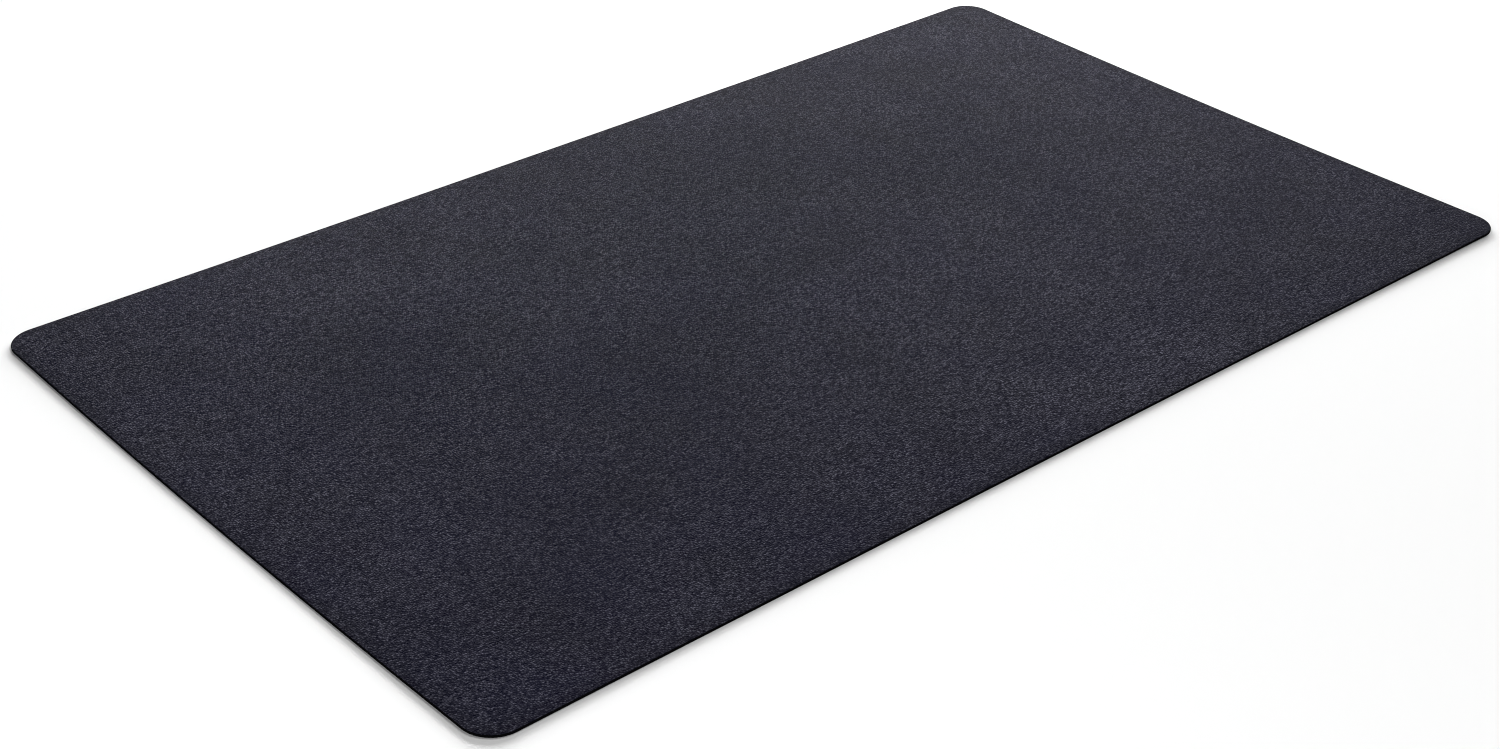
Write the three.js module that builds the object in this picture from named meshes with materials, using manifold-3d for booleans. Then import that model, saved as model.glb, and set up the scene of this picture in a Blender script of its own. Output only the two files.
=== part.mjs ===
// Anti-fatigue floor mat: an embossed skin, a foam core and a non-slip backing, bonded into
// one thin flexible sheet that lies flat on the floor.
//
// Millimetres, +Z up. The origin is on the floor under the middle of the mat. +X runs along
// the mat's length and +Y across its width.

import * as THREE from 'three';
import { mergeVertices } from 'three/addons/utils/BufferGeometryUtils.js';
import Module from 'manifold-3d';

// ---- Driving dimensions --------------------------------------------------------------

const MAT_LENGTH = 1524; // 60 inches, along X
const MAT_WIDTH = 914.4; // 36 inches, along Y
const CORNER_RADIUS = 35; // of the outline, seen from above

const BACKING_THICKNESS = 0.75; // grippy sheet that lies on the floor
const CORE_THICKNESS = 1.75; // closed-cell foam that gives underfoot
const SKIN_THICKNESS = 0.75; // tough embossed sheet that is stood on

const EDGE_ROUND = 1; // radius that the rim is rolled to, above and below
const RIM_WIDTH = 4; // border where the skin is welded straight to the backing
const CORE_GAP = 0.3; // air between the rim and the foam's cut edge

const CORNER_STEPS = 16; // facets on each quarter circle of the outline
const ROUND_STEPS = 5; // facets on the rolled rim

// ---- Levels, worked out from the thicknesses -----------------------------------------

const BACKING_TOP = BACKING_THICKNESS;
const CORE_TOP = BACKING_TOP + CORE_THICKNESS;
const MAT_TOP = CORE_TOP + SKIN_THICKNESS;

// How far a cutting block reaches past what it cuts.
const OVERSHOOT = 10;

// ---- Solids: cutting with manifold-3d -------------------------------------------------

const wasm = await Module();
wasm.setup();

// A closed three.js geometry as a solid that can be cut.
function toSolid(geometry) {
  const bare = geometry.clone();
  bare.deleteAttribute('normal');
  bare.deleteAttribute('uv');
  const welded = mergeVertices(bare);
  return new wasm.Manifold(new wasm.Mesh({
    numProp: 3,
    vertProperties: new Float32Array(welded.attributes.position.array),
    triVerts: new Uint32Array(welded.index.array),
  }));
}

// The cut solid back as a three.js geometry with flat-shaded facets.
function toGeometry(solid) {
  const mesh = solid.getMesh();
  const geometry = new THREE.BufferGeometry();
  geometry.setAttribute('position', new THREE.BufferAttribute(mesh.vertProperties, 3));
  geometry.setIndex(new THREE.BufferAttribute(mesh.triVerts, 1));
  geometry.computeVertexNormals();
  return geometry;
}

// ---- Outlines and sheets -------------------------------------------------------------

// The mat's outline with every side moved in by inset, so that all layers share one shape.
function matOutline(inset) {
  const halfLength = MAT_LENGTH / 2 - inset;
  const halfWidth = MAT_WIDTH / 2 - inset;
  const radius = CORNER_RADIUS - inset;
  const outline = new THREE.Shape();
  outline.absarc(halfLength - radius, halfWidth - radius, radius, 0, Math.PI / 2);
  outline.absarc(radius - halfLength, halfWidth - radius, radius, Math.PI / 2, Math.PI);
  outline.absarc(radius - halfLength, radius - halfWidth, radius, Math.PI, Math.PI * 1.5);
  outline.absarc(halfLength - radius, radius - halfWidth, radius, Math.PI * 1.5, Math.PI * 2);
  outline.closePath();
  return outline;
}

// A square-edged sheet between two levels.
function sheet(inset, bottom, top) {
  const geometry = new THREE.ExtrudeGeometry(matOutline(inset), {
    depth: top - bottom,
    bevelEnabled: false,
    curveSegments: CORNER_STEPS,
  });
  geometry.translate(0, 0, bottom);
  return geometry;
}

// The whole mat as one block, with its rim rolled above and below.
function rolledBlock() {
  const geometry = new THREE.ExtrudeGeometry(matOutline(0), {
    depth: MAT_TOP - 2 * EDGE_ROUND,
    bevelEnabled: true,
    bevelThickness: EDGE_ROUND,
    bevelSize: EDGE_ROUND,
    bevelOffset: -EDGE_ROUND,
    bevelSegments: ROUND_STEPS,
    curveSegments: CORNER_STEPS,
  });
  geometry.translate(0, 0, EDGE_ROUND);
  return geometry;
}

// ---- The three layers ----------------------------------------------------------------

// The backing is the part of the block below the foam.
function gripBacking() {
  const above = toSolid(sheet(-OVERSHOOT, BACKING_TOP, MAT_TOP + OVERSHOOT));
  return toGeometry(toSolid(rolledBlock()).subtract(above));
}

// The foam is a flat sheet with a cut edge, clear of the rim all round.
function cushionCore() {
  return sheet(RIM_WIDTH + CORE_GAP, BACKING_TOP, CORE_TOP);
}

// The skin covers the foam and comes down round it to meet the backing, so it is a very
// shallow tray turned upside down.
function wearSkin() {
  const below = toSolid(sheet(-OVERSHOOT, -OVERSHOOT, BACKING_TOP));
  const pocket = toSolid(sheet(RIM_WIDTH, -OVERSHOOT, CORE_TOP));
  return toGeometry(toSolid(rolledBlock()).subtract(below).subtract(pocket));
}

// ---- Materials -----------------------------------------------------------------------

const embossedVinyl = new THREE.MeshStandardMaterial({
  color: 0x37373f,
  roughness: 0.7,
  metalness: 0,
});

const closedCellFoam = new THREE.MeshStandardMaterial({
  color: 0x2b2c2f,
  roughness: 0.95,
  metalness: 0,
});

const gripRubber = new THREE.MeshStandardMaterial({
  color: 0x1c1c1e,
  roughness: 0.85,
  metalness: 0,
});

// ---- The mat -------------------------------------------------------------------------

function layer(name, geometry, material) {
  const mesh = new THREE.Mesh(geometry, material);
  mesh.name = name;
  return mesh;
}

const mat = new THREE.Group();
mat.add(layer('grip_backing', gripBacking(), gripRubber));
mat.add(layer('cushion_core', cushionCore(), closedCellFoam));
mat.add(layer('wear_skin', wearSkin(), embossedVinyl));

export default mat;
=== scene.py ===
"""Anti-fatigue floor mat: the looks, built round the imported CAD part. Metres, +Z up, +X along the mat."""

import math

import bpy
import numpy as np
from mathutils import Matrix, Vector
from mathutils.geometry import delaunay_2d_cdt


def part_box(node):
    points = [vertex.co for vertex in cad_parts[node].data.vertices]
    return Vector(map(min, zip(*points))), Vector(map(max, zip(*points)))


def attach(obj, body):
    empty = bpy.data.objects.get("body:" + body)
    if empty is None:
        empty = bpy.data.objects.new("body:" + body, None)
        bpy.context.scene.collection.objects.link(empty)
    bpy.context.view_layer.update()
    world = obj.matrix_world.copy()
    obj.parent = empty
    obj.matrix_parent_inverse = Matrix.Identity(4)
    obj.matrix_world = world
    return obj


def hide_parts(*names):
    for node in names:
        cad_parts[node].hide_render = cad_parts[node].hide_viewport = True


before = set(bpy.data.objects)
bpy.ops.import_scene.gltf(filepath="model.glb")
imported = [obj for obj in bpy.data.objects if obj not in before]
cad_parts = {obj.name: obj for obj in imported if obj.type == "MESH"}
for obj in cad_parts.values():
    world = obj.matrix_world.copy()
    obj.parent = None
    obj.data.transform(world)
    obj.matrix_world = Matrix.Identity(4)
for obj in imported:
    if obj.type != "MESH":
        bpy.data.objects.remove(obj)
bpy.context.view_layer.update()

MM = 0.001

# ---- The mat's sizes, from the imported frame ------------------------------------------

skin_low, skin_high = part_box("wear_skin")
_, core_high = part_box("cushion_core")
backing_low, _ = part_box("grip_backing")

HALF_LENGTH = skin_high[0]
HALF_WIDTH = skin_high[1]
MAT_TOP = skin_high[2]
WELD_LEVEL = skin_low[2]  # where the skin's rim meets the backing
POCKET_TOP = core_high[2]  # the underside of the skin over the foam
FLOOR_LEVEL = backing_low[2]
CORE_INSET = HALF_LENGTH - core_high[0]

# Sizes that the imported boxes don't give, as in part.mjs.
CORNER_RADIUS = 35 * MM
EDGE_ROUND = 1 * MM
RIM_WIDTH = 4 * MM

# A hair between layers, so that no two surfaces lie in one plane.
BOND_GAP = 0.02 * MM

# ---- How the mat lies ----------------------------------------------------------------

# The middle of each short end stands out of line by this much, towards -X.
END_BOW = -5.0 * MM
# The long sides draw in by this much half way along.
SIDE_WAIST = 2.5 * MM
# Three corners curl off the floor a little, and the curl fades over this distance.
CORNER_LIFTS = {(-1, 1): 1 * MM, (1, -1): 1 * MM, (-1, -1): 1 * MM}
CURL_REACH = 230 * MM

# ---- Mesh density --------------------------------------------------------------------

SKIN_CELL = 4.6 * MM
BACKING_CELL = 4.8 * MM  # also the way from a stud to the hollow beside it
CORE_CELL = 18 * MM
HIDDEN_CELL = 36 * MM
CORNER_CELLS = 9
ROUND_STEPS = 6  # over a rolled edge
SHARP_ANGLE = 40  # degrees: edges that turn more than this are shaded sharp

# ---- Surface relief ------------------------------------------------------------------

PEBBLE_RELIEF = 0.09 * MM  # the height of the skin's grain, as a standard deviation
SMOOTH_BORDER = 5 * MM  # the grain and the studs fade out over this much of the border
GRIP_RELIEF = 0.25 * MM  # height of the backing's grip studs
CORE_BELLY = 0.15 * MM  # how far the foam's cut edge bellies in
# The top falls away by this much towards the rim, over this distance.
EDGE_FALL = 0.3 * MM
FALL_REACH = 20 * MM
SEED = 20  # of the grain's random heights
# The mesh attribute that says how deep the emboss is, from 0 on the smooth rim to 1. Below 1 on the top,
# the colour is also blended towards the rim's black: painted shade along the top's border.
EMBOSS_AND_EDGE_SHADE = "embossed"
# On the top's border the emboss is this deep, and the colour there is darkened as painted shade.
EDGE_EMBOSS_AND_SHADE = 0.7  # how deep it is on the top's border


# ======================================================================================
# Shape helpers
# ======================================================================================

def settle(points):
    """Lays flat points the way the mat lies, with its sides a little out of line and its corners a little
    off the floor."""
    laid = np.array(points, float)
    along = laid[:, 0] / HALF_LENGTH
    across = laid[:, 1] / HALF_WIDTH
    for (end, side), lift in CORNER_LIFTS.items():
        distance = np.hypot(laid[:, 0] - end * HALF_LENGTH, laid[:, 1] - side * HALF_WIDTH)
        laid[:, 2] += lift * np.exp(-((distance / CURL_REACH) ** 2))
    laid[:, 0] += END_BOW * (1 - across**2)
    laid[:, 1] -= SIDE_WAIST * across * (1 - along**2)
    return laid


def grid_lines(half, radius, cell):
    """Grid line positions from side to side, with CORNER_CELLS of them over each corner's radius."""
    corner = np.linspace(0, radius, CORNER_CELLS + 1)
    middle_cells = round(2 * (half - radius) / cell)
    middle = np.linspace(radius - half, half - radius, middle_cells + 1)
    return np.concatenate([corner - half, middle[1:-1], half - corner[::-1]])


def rounded_grid(inset, cell):
    """Plan positions, as x and y arrays, of a quad grid that fills the mat's outline moved in by inset."""
    half_length = HALF_LENGTH - inset
    half_width = HALF_WIDTH - inset
    radius = CORNER_RADIUS - inset
    xs = grid_lines(half_length, radius, cell)
    ys = grid_lines(half_width, radius, cell)
    x, y = np.meshgrid(xs, ys, indexing="ij")
    # How far each point reaches into a corner square, as a share of the radius. The square is
    # then squeezed onto a quarter disc, which rounds the corner and keeps every face a quad.
    into_x = np.clip((abs(x) - half_length + radius) / radius, 0, 1)
    into_y = np.clip((abs(y) - half_width + radius) / radius, 0, 1)
    x -= np.sign(x) * radius * into_x * (1 - np.sqrt(1 - into_y**2 / 2))
    y -= np.sign(y) * radius * into_y * (1 - np.sqrt(1 - into_x**2 / 2))
    return x, y


def grid_faces(columns, rows):
    """Quads of a grid whose vertex numbers run row by row within each column, facing up."""
    i, j = np.meshgrid(np.arange(columns - 1), np.arange(rows - 1), indexing="ij")
    first = (i * rows + j).ravel()
    return np.stack([first, first + rows, first + rows + 1, first + 1], axis=1).tolist()


def grid_border(columns, rows):
    """Vertex numbers round the grid's edge, anticlockwise from above, without a repeat."""
    bottom = [i * rows for i in range(columns)]
    right = [(columns - 1) * rows + j for j in range(1, rows)]
    top = [i * rows + rows - 1 for i in range(columns - 2, -1, -1)]
    left = list(range(rows - 2, 0, -1))
    return bottom + right + top + left


def outward(border):
    """Unit directions out of the outline at plan points on the border of any inset outline."""
    core = np.array([HALF_LENGTH - CORNER_RADIUS, HALF_WIDTH - CORNER_RADIUS])
    nearest = np.clip(border, -core, core)
    direction = border - nearest
    return direction / np.linalg.norm(direction, axis=1, keepdims=True)


def strip(first, second, count):
    """Quads between two closed rings of count vertices that start at those numbers."""
    faces = []
    for k in range(count):
        after = (k + 1) % count
        faces.append((first + k, second + k, second + after, first + after))
    return faces


def hidden_cover(ring, level, facing_up):
    """Fills a closed plan ring with a coarse sheet at one level. Returns the added inner points and all the
    faces, numbered so that the ring's own vertices come first."""
    low, high = ring.min(axis=0), ring.max(axis=0)
    counts = np.ceil((high - low) / HIDDEN_CELL).astype(int)
    xs = np.linspace(low[0], high[0], counts[0] + 1)[1:-1]
    ys = np.linspace(low[1], high[1], counts[1] + 1)[1:-1]
    inner = [(x, y) for x in xs for y in ys]
    number = len(ring)
    edges = [(k, (k + 1) % number) for k in range(number)]
    plan = [Vector(p) for p in ring.tolist() + inner]
    inside_only = 1
    merge_distance = 1e-7
    _, _, faces, origins, _, _ = delaunay_2d_cdt(plan, edges, [], inside_only, merge_distance)
    source = [origin[0] for origin in origins]
    turned = [tuple(source[v] for v in face) for face in faces]
    if not facing_up:
        turned = [face[::-1] for face in turned]
    points = [(x, y, level) for x, y in inner]
    return points, turned


def make_piece(name, points, faces):
    """A mesh object of that name, smooth except across sharp edges."""
    mesh = bpy.data.meshes.new(name)
    mesh.from_pydata(np.asarray(points).tolist(), [], faces)
    mesh.validate()
    mesh.shade_smooth()
    mesh.set_sharp_from_angle(angle=math.radians(SHARP_ANGLE))
    piece = bpy.data.objects.new(name, mesh)
    bpy.context.scene.collection.objects.link(piece)
    return piece


def share_inside(x, y, inset, reach):
    """0 on the border of the inset outline, rising to 1 at that reach inside it."""
    core_x = HALF_LENGTH - CORNER_RADIUS
    core_y = HALF_WIDTH - CORNER_RADIUS
    beyond = np.hypot(np.maximum(abs(x) - core_x, 0), np.maximum(abs(y) - core_y, 0))
    inside = CORNER_RADIUS - inset - beyond
    return np.clip(inside / reach, 0, 1)


def ring_points(border, direction, offset, level):
    """The border ring moved outward by offset, at one level."""
    moved = border + direction * offset
    return np.column_stack([moved, np.full(len(moved), level)])


def lower_round(level):
    """How far the rolled lower edge stands out from the grid's border at a level."""
    below = max(EDGE_ROUND - level, 0)
    return math.sqrt(EDGE_ROUND**2 - below**2)


def closed_shell(x, y, z, profile, facing_up):
    """Closes a gridded sheet into a shell. Its edge follows the profile, a list of (offset, level) pairs,
    and a coarse cover fills the last ring. Returns the points, the sheet's own first, and the faces."""
    columns, rows = x.shape
    sheet = np.column_stack([x.ravel(), y.ravel(), z.ravel()])
    loop = grid_border(columns, rows)
    border = sheet[loop, :2]
    direction = outward(border)
    count = len(loop)
    rings = [ring_points(border, direction, offset, level) for offset, level in profile]
    starts = [len(sheet) + k * count for k in range(len(rings))]

    faces = grid_faces(columns, rows)
    first = starts[0]
    for k in range(count):
        after = (k + 1) % count
        faces.append((loop[k], first + k, first + after, loop[after]))
    for ring, following in zip(starts, starts[1:]):
        faces.extend(strip(ring, following, count))
    if not facing_up:
        faces = [tuple(reversed(face)) for face in faces]

    _, last_level = profile[-1]
    inner, cover = hidden_cover(rings[-1][:, :2], last_level, facing_up=not facing_up)
    faces.extend(tuple(v + starts[-1] for v in face) for face in cover)
    return np.concatenate([sheet, *rings, np.array(inner)]), faces


def mark_embossed(piece, depths):
    """Gives the top's vertices, which come first, their emboss depths, which the vinyl also uses to paint
    shade along the top's border. All the others stay smooth.
    """
    values = np.zeros(len(piece.data.vertices), np.float32)
    values[:depths.size] = depths.ravel()
    piece.data.attributes.new(EMBOSS_AND_EDGE_SHADE, "FLOAT", "POINT").data.foreach_set("value", values)


# ======================================================================================
# Pieces
# ======================================================================================

def build_skin():
    """The pebbled skin: a fine grained top, a rolled rim, and the pocket that the foam lies in."""
    x, y = rounded_grid(EDGE_ROUND, SKIN_CELL)
    grain = np.random.default_rng(SEED).standard_normal(x.shape)
    relief = PEBBLE_RELIEF * grain * share_inside(x, y, EDGE_ROUND, SMOOTH_BORDER)
    fall = EDGE_FALL * (1 - share_inside(x, y, EDGE_ROUND, FALL_REACH)) ** 2

    # The rim from the top's border outward and down, then in under the weld and up the pocket's wall.
    rim_top = MAT_TOP - EDGE_FALL
    profile = []
    for step in range(1, ROUND_STEPS + 1):
        angle = step / ROUND_STEPS * math.pi / 2
        profile.append((EDGE_ROUND * math.sin(angle), rim_top - EDGE_ROUND * (1 - math.cos(angle))))
    profile.append((EDGE_ROUND, EDGE_ROUND))
    profile.append((lower_round(WELD_LEVEL), WELD_LEVEL + BOND_GAP))
    profile.append((EDGE_ROUND - RIM_WIDTH, WELD_LEVEL + BOND_GAP))
    profile.append((EDGE_ROUND - RIM_WIDTH, POCKET_TOP))

    points, faces = closed_shell(x, y, MAT_TOP + relief - fall, profile, facing_up=True)
    piece = make_piece("pebbled_skin", settle(points), faces)
    # The emboss depth rises inward from the border, and with it the painted shade along the border fades.
    mark_embossed(piece, EDGE_EMBOSS_AND_SHADE + (1 - EDGE_EMBOSS_AND_SHADE) * share_inside(x, y, EDGE_ROUND, FALL_REACH))
    return piece


def build_core():
    """The foam sheet with its cut edge, just clear of the skin and the backing."""
    bottom = WELD_LEVEL + BOND_GAP
    top = POCKET_TOP - BOND_GAP
    x, y = rounded_grid(CORE_INSET, CORE_CELL)
    columns, rows = x.shape
    loop = grid_border(columns, rows)
    upper = np.column_stack([x.ravel(), y.ravel(), np.full(x.size, top)])
    lower = upper.copy()
    lower[:, 2] = bottom
    size = len(upper)
    quads = grid_faces(columns, rows)
    faces = list(quads)
    faces.extend(tuple(v + size for v in reversed(quad)) for quad in quads)
    border = upper[loop, :2]
    direction = outward(border)
    count = len(loop)

    # The cut edge bellies in a little between its two faces, as sliced foam does.
    middle = ring_points(border, direction, -CORE_BELLY, (top + bottom) / 2)
    start = 2 * size
    for k in range(count):
        after = (k + 1) % count
        faces.append((loop[k], start + k, start + after, loop[after]))
        faces.append((start + k, size + loop[k], size + loop[after], start + after))
    return make_piece("foam_core", settle(np.concatenate([upper, lower, middle])), faces)


def build_backing():
    """The backing: a studded underside that grips the floor, with a rolled lower edge."""
    x, y = rounded_grid(EDGE_ROUND, BACKING_CELL)
    i, j = np.indices(x.shape)
    hollow = ((i + j) % 2) * share_inside(x, y, EDGE_ROUND, SMOOTH_BORDER)
    profile = []
    for step in range(1, ROUND_STEPS):
        level = FLOOR_LEVEL + (WELD_LEVEL - FLOOR_LEVEL) * step / ROUND_STEPS
        profile.append((lower_round(level), level))
    profile.append((lower_round(WELD_LEVEL), WELD_LEVEL))
    points, faces = closed_shell(x, y, FLOOR_LEVEL + GRIP_RELIEF * hollow, profile, facing_up=False)
    return make_piece("studded_backing", settle(points), faces)


# ======================================================================================
# Materials
# ======================================================================================

class Nodes:
    """A new material's node tree, with short ways to add and join its nodes."""

    def __init__(self, name):
        self.material = bpy.data.materials.new(name)
        self.material.use_nodes = True
        self.tree = self.material.node_tree
        self.shader = self.tree.nodes["Principled BSDF"]
        self.place = self.add("ShaderNodeTexCoord").outputs["Object"]

    def add(self, kind, **settings):
        made = self.tree.nodes.new(kind)
        for key, value in settings.items():
            setattr(made, key, value)
        return made

    def feed(self, socket, value):
        """Joins an output to the socket, or sets the socket to a plain value."""
        if isinstance(value, bpy.types.NodeSocket):
            self.tree.links.new(value, socket)
        else:
            socket.default_value = value

    def noise(self, size, detail=2.0, roughness=0.5, shift=(0.0, 0.0, 0.0)):
        """Soft noise whose features are about size metres across, read shift metres away from the object."""
        made = self.add("ShaderNodeTexNoise")
        self.feed(made.inputs["Vector"], self.total(self.place, shift))
        made.inputs["Scale"].default_value = 1 / size
        made.inputs["Detail"].default_value = detail
        made.inputs["Roughness"].default_value = roughness
        return made.outputs["Fac"]

    def cells(self, size):
        """Round cells about size metres across. Returns the distance from each cell's middle, in cells,
        and a chance value for each cell."""
        made = self.add("ShaderNodeTexVoronoi")
        self.feed(made.inputs["Vector"], self.place)
        made.inputs["Scale"].default_value = 1 / size
        parts = self.add("ShaderNodeSeparateColor")
        self.feed(parts.inputs["Color"], made.outputs["Color"])
        return made.outputs["Distance"], parts.outputs["Red"]

    def math(self, operation, first, second):
        """One step of arithmetic on two numbers."""
        made = self.add("ShaderNodeMath", operation=operation)
        self.feed(made.inputs[0], first)
        self.feed(made.inputs[1], second)
        return made.outputs[0]

    def remap(self, value, span, target):
        """Carries a value over from one span, given as its two ends, to another, and keeps it inside."""
        made = self.add("ShaderNodeMapRange")
        self.feed(made.inputs["Value"], value)
        for name, end in zip(("From Min", "From Max", "To Min", "To Max"), (*span, *target)):
            made.inputs[name].default_value = end
        return made.outputs["Result"]

    def blend(self, share, first, second):
        """The first colour at a share of 0, the second at 1, and a mix between them."""
        made = self.add("ShaderNodeMix", data_type="RGBA")
        self.feed(made.inputs["Factor"], share)
        self.feed(made.inputs["A"], first)
        self.feed(made.inputs["B"], second)
        return made.outputs["Result"]

    def scale_colour(self, colour, factor):
        """A colour made lighter or darker by a factor that may come from nodes."""
        made = self.add("ShaderNodeVectorMath", operation="SCALE")
        self.feed(made.inputs[0], colour)
        self.feed(made.inputs["Scale"], factor)
        return made.outputs[0]

    def total(self, first, second):
        """Two colours or two vectors added up."""
        made = self.add("ShaderNodeVectorMath", operation="ADD")
        self.feed(made.inputs[0], first)
        self.feed(made.inputs[1], second)
        return made.outputs[0]

    def bump(self, height, distance):
        """Shading relief of that many metres from a height between 0 and 1."""
        made = self.add("ShaderNodeBump")
        self.feed(made.inputs["Height"], height)
        made.inputs["Distance"].default_value = distance
        made.inputs["Strength"].default_value = 1.0
        return made.outputs["Normal"]

    def surface(self, colour, roughness, normal):
        """Feeds the shader's three main inputs."""
        self.feed(self.shader.inputs["Base Color"], colour)
        self.feed(self.shader.inputs["Roughness"], roughness)
        self.feed(self.shader.inputs["Normal"], normal)


def rgb(red, green, blue):
    """A colour with the alpha that sockets ask for."""
    return (red, green, blue, 1.0)


def grey(value):
    """A grey of that brightness."""
    return rgb(value, value, value)


WHOLE = (0.0, 1.0)
NOISE_SPAN = (0.3, 0.7)  # where nearly all of a noise's values lie

PEBBLE_SIZE = 2.4 * MM
PEBBLE_BUMP = 1.0 * MM
PEBBLE_COLOUR = (0.0135, 0.0132, 0.0173)
PEBBLE_SHADES = (0.0, 5.7)  # the darkest and the palest pebble, times the pebble colour
PALE_PEBBLES_RARE = 1.3  # above 1, pale pebbles are fewer than dark ones
PEBBLE_REACH = (0.0, 0.7)  # from a pebble's crest to the seam round it, in pebbles
# Darker towards the seam: painted shade in the seams between pebbles.
CREST_TO_SEAM = (1.0, 0.2)  # the height and the paleness at those two places
PEBBLE_HEIGHTS = (0.5, 1.0)  # the lowest and the highest pebble
SCUFF_SIZE = 180 * MM
SCUFF_SHADES = (0.74, 1.26)  # times the pebbles' shades
# Broad bands, partly wear and partly painted shade, that make the mat paler and darker.
BAND_SIZE = 700 * MM
BAND_SHADES = (0.68, 1.32)
# Where the bands of wear and painted shade are read from the noise: here a darker band crosses the mat's
# middle.
BAND_SHIFT = (17.0, 29.0, 0.0)
DYE = rgb(0.0020, 0.0020, 0.0085), rgb(0.0020, 0.0020, 0.0109)
DYE_PATCH = 130 * MM
DYE_SPAN = (0.35, 0.65)  # the noise that it changes over
# The rim's black: partly the smooth rim's own colour, partly painted shade on its sides.
RIM_BLACK_AND_SHADE = rgb(0.0014, 0.0014, 0.0017), rgb(0.0028, 0.0028, 0.0032)
RIM_MOTTLE = 1.2 * MM
SEAM_TO_CREST = (0.1, 1.0)  # the heights between which the roughness changes
VINYL_ROUGHNESS = (0.70, 0.50)
VINYL_GLOSS = 0.005


def pebbled_vinyl():
    """Charcoal vinyl with a fine pebble emboss. Every pebble has its own shade, and painted shade darkens
    the seams between pebbles. The whole is worn paler and darker in soft patches over a slate dye, and
    broad bands of wear and painted shade cross it. Painted shade darkens the top's border towards the
    rim. The rolled rim is smooth and black, partly its own colour and partly painted shade on its sides."""
    n = Nodes("pebbled_vinyl")
    embossed = n.add("ShaderNodeAttribute", attribute_name=EMBOSS_AND_EDGE_SHADE).outputs["Fac"]
    distance, chance = n.cells(PEBBLE_SIZE)
    crest = n.remap(distance, PEBBLE_REACH, CREST_TO_SEAM)
    shade = n.remap(n.math("POWER", chance, PALE_PEBBLES_RARE), WHOLE, PEBBLE_SHADES)
    scuffs = n.remap(n.noise(SCUFF_SIZE, detail=4.0, roughness=0.6), NOISE_SPAN, SCUFF_SHADES)
    # Random scuffs of wear, times broad bands of wear and painted shade.
    wear_and_shade_bands = n.remap(n.noise(BAND_SIZE, detail=3.0, shift=BAND_SHIFT), NOISE_SPAN, BAND_SHADES)
    wear_and_shade = n.math("MULTIPLY", scuffs, wear_and_shade_bands)
    # The pebble colour, darkened towards each seam as painted shade, times each pebble's shade and the wear
    # and shade.
    pebble = n.scale_colour(PEBBLE_COLOUR, n.math("MULTIPLY", n.math("MULTIPLY", crest, shade), wear_and_shade))
    dye = n.blend(n.remap(n.noise(DYE_PATCH, detail=3.0), DYE_SPAN, WHOLE), *DYE)
    # The rim's black, with painted shade on its sides.
    rim = n.blend(n.remap(n.noise(RIM_MOTTLE, detail=3.0), NOISE_SPAN, WHOLE), *RIM_BLACK_AND_SHADE)
    # Towards the rim the colour blends into the rim's black, which paints shade on the top's border.
    colour = n.blend(embossed, rim, n.total(pebble, dye))

    pebble_height = n.math("MULTIPLY", crest, n.remap(chance, WHOLE, PEBBLE_HEIGHTS))
    height = n.math("MULTIPLY", pebble_height, embossed)
    roughness = n.remap(height, SEAM_TO_CREST, VINYL_ROUGHNESS)
    n.surface(colour, roughness, n.bump(height, PEBBLE_BUMP))
    n.shader.inputs["Specular IOR Level"].default_value = VINYL_GLOSS
    return n.material


FOAM = rgb(0.020, 0.021, 0.023), rgb(0.034, 0.035, 0.038)
FOAM_CELL = 0.9 * MM
FOAM_BUMP = 0.15 * MM
PIT_REACH = (0.1, 0.6)  # from a pit's floor to the wall round it, in cells
# The pits' floors are darkened as painted shade.
PIT_SHADES = (0.6, 1.15)  # the floor and the wall, times the foam's colour
FOAM_CLOUD = 25 * MM
FOAM_ROUGHNESS = (0.88, 0.97)


def closed_cell_foam():
    """Dark grey foam, matte, with fine closed cells that read as pits, their floors darkened as painted
    shade.
    """
    n = Nodes("closed_cell_foam")
    distance, _ = n.cells(FOAM_CELL)
    height = n.remap(distance, PIT_REACH, WHOLE)
    cloud = n.noise(FOAM_CLOUD, detail=3.0)
    # Painted shade darkens each pit towards its floor.
    colour = n.scale_colour(n.blend(cloud, *FOAM), n.remap(height, WHOLE, PIT_SHADES))
    n.surface(colour, n.remap(cloud, NOISE_SPAN, FOAM_ROUGHNESS), n.bump(height, FOAM_BUMP))
    return n.material


RUBBER = grey(0.011), grey(0.028)
RUBBER_GRAIN = 0.8 * MM
RUBBER_BUMP = 0.08 * MM
RUBBER_SHADES = (0.8, 1.2)
RUBBER_ROUGHNESS = (0.68, 0.86)
DUST_PATCH = 60 * MM
DUST_SPAN = (0.45, 0.75)  # the noise that dust gathers over
DUST_SHARE = (0.0, 0.6)  # how far it takes the rubber to its paler colour


def grip_rubber():
    """Black rubber of the backing: slightly dusty, with a fine mould texture."""
    n = Nodes("grip_rubber")
    grain = n.noise(RUBBER_GRAIN, detail=3.0, roughness=0.6)
    dust = n.noise(DUST_PATCH, detail=5.0, roughness=0.6)
    base = n.blend(n.remap(dust, DUST_SPAN, DUST_SHARE), *RUBBER)
    colour = n.scale_colour(base, n.remap(grain, NOISE_SPAN, RUBBER_SHADES))
    n.surface(colour, n.remap(dust, NOISE_SPAN, RUBBER_ROUGHNESS), n.bump(grain, RUBBER_BUMP))
    return n.material


FLOOR_SHADE = grey(0.98)
FLOOR_ROUGHNESS = 0.9


def studio_floor():
    """Plain near-white floor without gloss."""
    n = Nodes("studio_floor")
    n.feed(n.shader.inputs["Base Color"], FLOOR_SHADE)
    n.feed(n.shader.inputs["Roughness"], FLOOR_ROUGHNESS)
    n.shader.inputs["Specular IOR Level"].default_value = 0.0
    return n.material


# ======================================================================================
# Camera, floor and light
# ======================================================================================

CAMERA_AIM = Vector((-0.169, -0.1277, 0.0))
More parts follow.
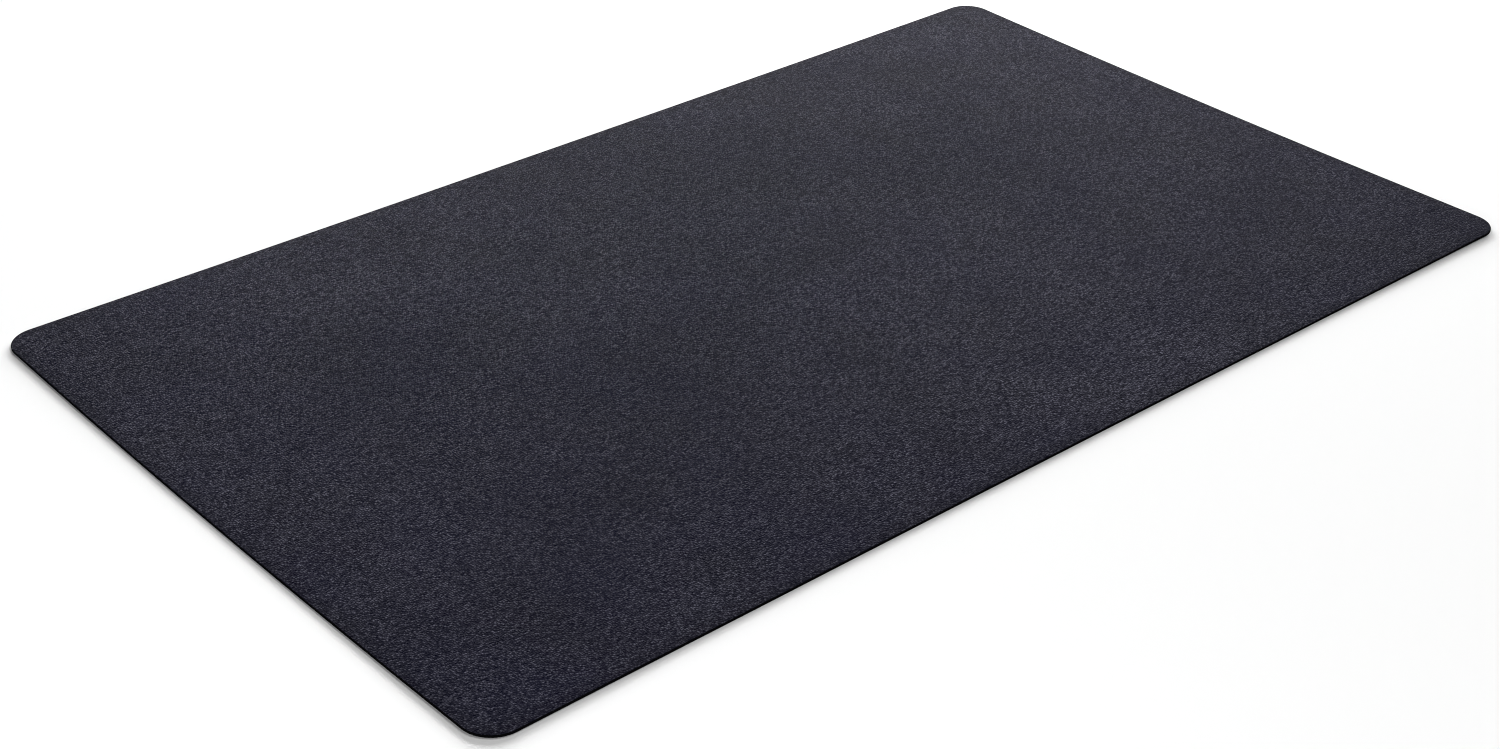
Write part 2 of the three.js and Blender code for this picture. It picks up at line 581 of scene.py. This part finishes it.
# Degrees. At azimuth 0 the camera looks along +Y, and a negative one puts it on the -X side.
CAMERA_AZIMUTH = -41.481
CAMERA_ELEVATION = 31.128
CAMERA_ROLL = 0.836
CAMERA_DISTANCE = 2.7062
LENS_MM = 59.421
SENSOR_MM = 36

FLOOR_REACH = 30  # metres each way
FLOOR_CLEARANCE = 0.05 * MM
SOFTBOX_WIDTH = 1.6
SOFTBOX_HEIGHT = 0.8
BANK_DISTANCE = 10
BANK_SPREAD = 25  # degrees: the wider it is, the softer the shadows
PIXEL_FILTER = 1.0  # narrower than Blender's own, which blurs the fine grain


def build_camera():
    """The camera, which looks down over the mat from beyond its corner at -X and -Y."""
    data = bpy.data.cameras.new("camera")
    data.lens = LENS_MM
    data.sensor_width = SENSOR_MM
    camera = bpy.data.objects.new("camera", data)
    azimuth = math.radians(CAMERA_AZIMUTH)
    elevation = math.radians(CAMERA_ELEVATION)
    back = Vector((
        math.sin(azimuth) * math.cos(elevation),
        -math.cos(azimuth) * math.cos(elevation),
        math.sin(elevation),
    ))
    turn = (-back).to_track_quat("-Z", "Y").to_matrix().to_4x4()
    roll = Matrix.Rotation(math.radians(CAMERA_ROLL), 4, "Z")
    camera.matrix_world = Matrix.Translation(CAMERA_AIM + back * CAMERA_DISTANCE) @ turn @ roll
    bpy.context.scene.collection.objects.link(camera)
    bpy.context.scene.camera = camera


def build_floor():
    """The floor, a hair under the mat."""
    reach = FLOOR_REACH
    corners = [(-reach, -reach, 0), (reach, -reach, 0), (reach, reach, 0), (-reach, reach, 0)]
    floor = make_piece("floor", corners, [(0, 1, 2, 3)])
    floor.location.z = FLOOR_LEVEL - FLOOR_CLEARANCE
    floor.data.materials.append(studio_floor())


def towards(azimuth, elevation):
    """The unit direction from the mat's middle to a light. Azimuth is in degrees from +X towards +Y."""
    a, e = math.radians(azimuth), math.radians(elevation)
    return Vector((math.cos(a) * math.cos(e), math.sin(a) * math.cos(e), math.sin(e)))


def add_light(name, kind, azimuth, elevation, distance, energy):
    """A light at that place, aimed at the mat's middle. Returns its data."""
    data = bpy.data.lights.new(name, kind)
    data.energy = energy
    direction = towards(azimuth, elevation)
    light = bpy.data.objects.new(name, data)
    light.location = direction * distance
    light.rotation_mode = "QUATERNION"
    light.rotation_quaternion = (-direction).to_track_quat("-Z", "Y")
    bpy.context.scene.collection.objects.link(light)
    return data


def softbox(name, azimuth, elevation, distance, power):
    """A wide softbox, which lights what is near it more than what is far from it."""
    data = add_light(name, "AREA", azimuth, elevation, distance, power)
    data.shape = "RECTANGLE"
    data.size = SOFTBOX_WIDTH
    data.size_y = SOFTBOX_HEIGHT


def light_bank(name, azimuth, elevation, strength):
    """A bank of lights so far off that it lights the whole floor alike, with soft shadows."""
    data = add_light(name, "SUN", azimuth, elevation, BANK_DISTANCE, strength)
    data.angle = math.radians(BANK_SPREAD)


def build_light():
    """Soft light, mostly low and from behind the mat, so that the edges near the camera stand in shade."""
    world = bpy.data.worlds.new("studio")
    world.use_nodes = True
    background = world.node_tree.nodes["Background"]
    background.inputs["Color"].default_value = grey(1.0)
    background.inputs["Strength"].default_value = 1.0
    bpy.context.scene.world = world
    # The white backdrop is only there to be seen, so that it doesn't wash the mat out.
    world.cycles_visibility.diffuse = False
    world.cycles_visibility.glossy = False
    softbox("back_softbox", azimuth=45, elevation=15, distance=2.0, power=25)
    softbox("front_softbox", azimuth=210, elevation=15, distance=3.5, power=44)
    light_bank("back_bank", azimuth=30, elevation=16, strength=3.20)
    light_bank("low_back_bank", azimuth=60, elevation=10, strength=4.59)
    light_bank("right_bank", azimuth=320, elevation=60, strength=1.02)
    bpy.context.scene.view_settings.view_transform = "Standard"
    bpy.context.scene.cycles.filter_width = PIXEL_FILTER


# ======================================================================================
# Build
# ======================================================================================

build_camera()
build_floor()
build_light()

skin = build_skin()
core = build_core()
backing = build_backing()

PIECES = [
    (skin, "wear_skin", "embossed_vinyl", pebbled_vinyl()),
    (core, "cushion_core", "closed_cell_foam", closed_cell_foam()),
    (backing, "grip_backing", "grip_rubber", grip_rubber()),
]
for piece, node, slot, material in PIECES:
    piece.data.materials.append(material)
    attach(piece, "root")
    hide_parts(node)
